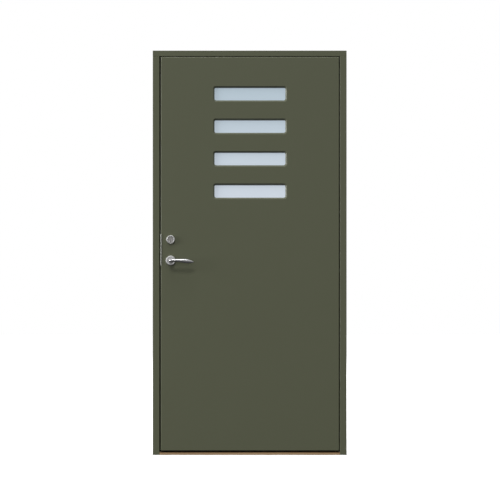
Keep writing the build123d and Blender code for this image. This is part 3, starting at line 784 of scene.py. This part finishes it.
# Finned rubber sweep under the leaf's wide inner part, closing the gap over the oak sill
sweep = {
    "front": 0.019,            # its outer side, from the middle of the frame's depth
    "depth": 0.010,
    "endGap": 0.001,           # shorter than the leaf at each end
    "clearance": 0.0004,       # over the sill
    "carrier": 0.0016,
    "fins": 3,
    "finThickness": 0.0012,
    "finTaper": 0.7,           # of its thickness is left at the tip
    "finLean": 0.0010,
    "bedding": 0.0003,         # how far it is pressed into the leaf
}


def makeSweep(finish):
    low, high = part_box("inner_skin")
    top = low.z + sweep["bedding"]
    root = top - sweep["carrier"]
    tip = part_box("threshold")[1].z + sweep["clearance"]
    front, back = sweep["front"], sweep["front"] + sweep["depth"]
    outline = [(back, root), (back, top), (front, top), (front, root)]
    step = sweep["depth"] / sweep["fins"]
    half = sweep["finThickness"] / 2
    end = half * sweep["finTaper"]
    for number in range(sweep["fins"]):
        middle = front + (number + 0.5) * step
        lean = middle - sweep["finLean"]
        outline += [(middle - half, root), (lean - end, tip), (lean + end, tip), (middle + half, root)]
    bench = bmesh.new()
    ends = [[bench.verts.new((x, y, z)) for y, z in outline]
            for x in (low.x + sweep["endGap"], high.x - sweep["endGap"])]
    for loop in ends:
        bench.faces.new(loop)
    for number in range(len(outline)):
        ahead = (number + 1) % len(outline)
        bench.faces.new((ends[0][number], ends[0][ahead], ends[1][ahead], ends[1][number]))
    bmesh.ops.recalc_face_normals(bench, faces=bench.faces)
    mesh = bpy.data.meshes.new("finnedSweep")
    bench.to_mesh(mesh)
    bench.free()
    settle("finnedSweep", mesh, finish, "leaf", "seal_rubber")


# Moulded window liners on the inner face: one outline swept round each opening
liner = {
    "openingRadius": 0.008,
    "cornerPoints": 8,
    "outline": (              # distance out of the opening's edge, height over the inner pane
        (0.0140, 0.0000), (0.0008, 0.0000), (0.0000, 0.0010), (0.0000, 0.0500), (0.0006, 0.0514),
        (0.0020, 0.0520), (0.0050, 0.0520), (0.0062, 0.0513), (0.0074, 0.0513), (0.0086, 0.0520),
        (0.0230, 0.0516), (0.0262, 0.0509), (0.0277, 0.0496), (0.0280, 0.0480), (0.0140, 0.0480),
    ),
}


def linerTree(finish):
    inputs = {"Outline": None, "Width": 0.366, "Height": 0.07, "Corner radius": 0.008, "Count": 4,
              "Pitch": 0.1657}
    outputs = {"Liners": "NodeSocketGeometry"}
    tree, given, wanted = newTree("GeometryNodeTree", "windowLiners", inputs, outputs)
    opening = add(tree, "GeometryNodeCurvePrimitiveQuadrilateral", {
        "Width": given["Width"], "Height": given["Height"]}).outputs[0]
    opening = add(tree, "GeometryNodeFilletCurve", {
        "Curve": opening, "Count": liner["cornerPoints"], "Radius": given["Corner radius"]}, mode="POLY")
    outline = add(tree, "GeometryNodeMeshToCurve", {"Mesh": given["Outline"]})
    frameLine = add(tree, "GeometryNodeCurveToMesh", {
        "Curve": opening.outputs[0], "Profile Curve": outline.outputs[0]})
    upright = moved(tree, frameLine.outputs[0], (0, 0, 0), (math.radians(90), 0, 0))
    down = combine(tree, 0.0, 0.0, maths(tree, "MULTIPLY", given["Pitch"], -1.0))
    row = add(tree, "GeometryNodeMeshLine", {"Count": given["Count"], "Offset": down})
    placed = add(tree, "GeometryNodeInstanceOnPoints", {"Points": row.outputs[0], "Instance": upright})
    real = add(tree, "GeometryNodeRealizeInstances", {"Geometry": placed.outputs[0]}).outputs[0]
    finished = add(tree, "GeometryNodeSetMaterial", {"Geometry": real, "Material": finish})
    feed(tree, wanted[0], finished.outputs[0])
    return tree


def makeLiners(finish):
    names = windowNodes("window_reveal")
    low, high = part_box(names[0])
    top = boxCentre(names[0])
    reach = liner["outline"][-2][0]
    base = bpy.data.meshes.new("linerOutline")
    points = [(out, up, 0) for out, up in liner["outline"]]
    base.from_pydata(points, [(n, (n + 1) % len(points)) for n in range(len(points))], [])
    sizes = {"Width": high.x - low.x - 2 * reach, "Height": high.z - low.z - 2 * reach,
             "Corner radius": liner["openingRadius"], "Count": len(names),
             "Pitch": windowPitch(names)}
    mesh = grown(base, linerTree(finish), sizes)
    for vertex in mesh.vertices:
        vertex.co += Vector((top.x, low.y, top.z))
    settle("windowLiners", mesh, finish, "leaf", "reveal_paint", *names)


def dress(material, *names):
    for name in names:
        for place in nodes[name].material_slots:
            place.material = material


def finishParts():
    paint = olivePaint("olivePaint")
    dress(paint, "frame_hinge_jamb", "frame_lock_jamb", "frame_head", "outer_skin", "inner_skin")
    dress(paint, "hinge_stile", "lock_stile", "top_rail", "bottom_rail")
    makeLiners(paint)
    dress(oakWood(), "threshold")
    rubber = plain("sealRubber")
    dress(rubber, "glazing_seals", "bottom_seal")
    makeGasket(rubber)
    makeSweep(rubber)
    dress(plain("foam"), "insulation_core")
    dress(frostedGlass(), *windowNodes("outer_pane"))
    dress(clearGlass(), *windowNodes("inner_pane"))
    dress(metal("spacerAlu"), "pane_spacers")
    dress(metal("brightChrome"), "outer_lever", "inner_lever", "thumbturn")
    dress(metal("satinChrome"), "outer_rose", "inner_rose", "cylinder_collar", "thumbturn_rose")
    dress(metal("satinNickel"), "outer_cylinder", "cylinder_plug", "latch_bolt", "dead_bolt")
    dress(metal("guardSteel"), "latch_guard")
    steel = metal("zincSteel")
    dress(steel, "strike_plate", "forend_plate", "lock_case", "spindle", "follower")
    dress(steel, *[f"hinge_{side}_half_{n}" for side in ("frame", "leaf") for n in (1, 2, 3)])
    dress(steel, "hinge_pins", "hinge_washers", "through_bolts")
    makeScrews(steel)


bpy.context.scene.view_settings.view_transform = "Standard"
film = sprayedFilmGroup()
brushed = brushedMetalGroup()
sheenAndWearTree = sheenAndWearGroup()
addCamera()
addWorld()
addLights()
addFloor()
print("studio ready")
finishParts()
print("materials ready")
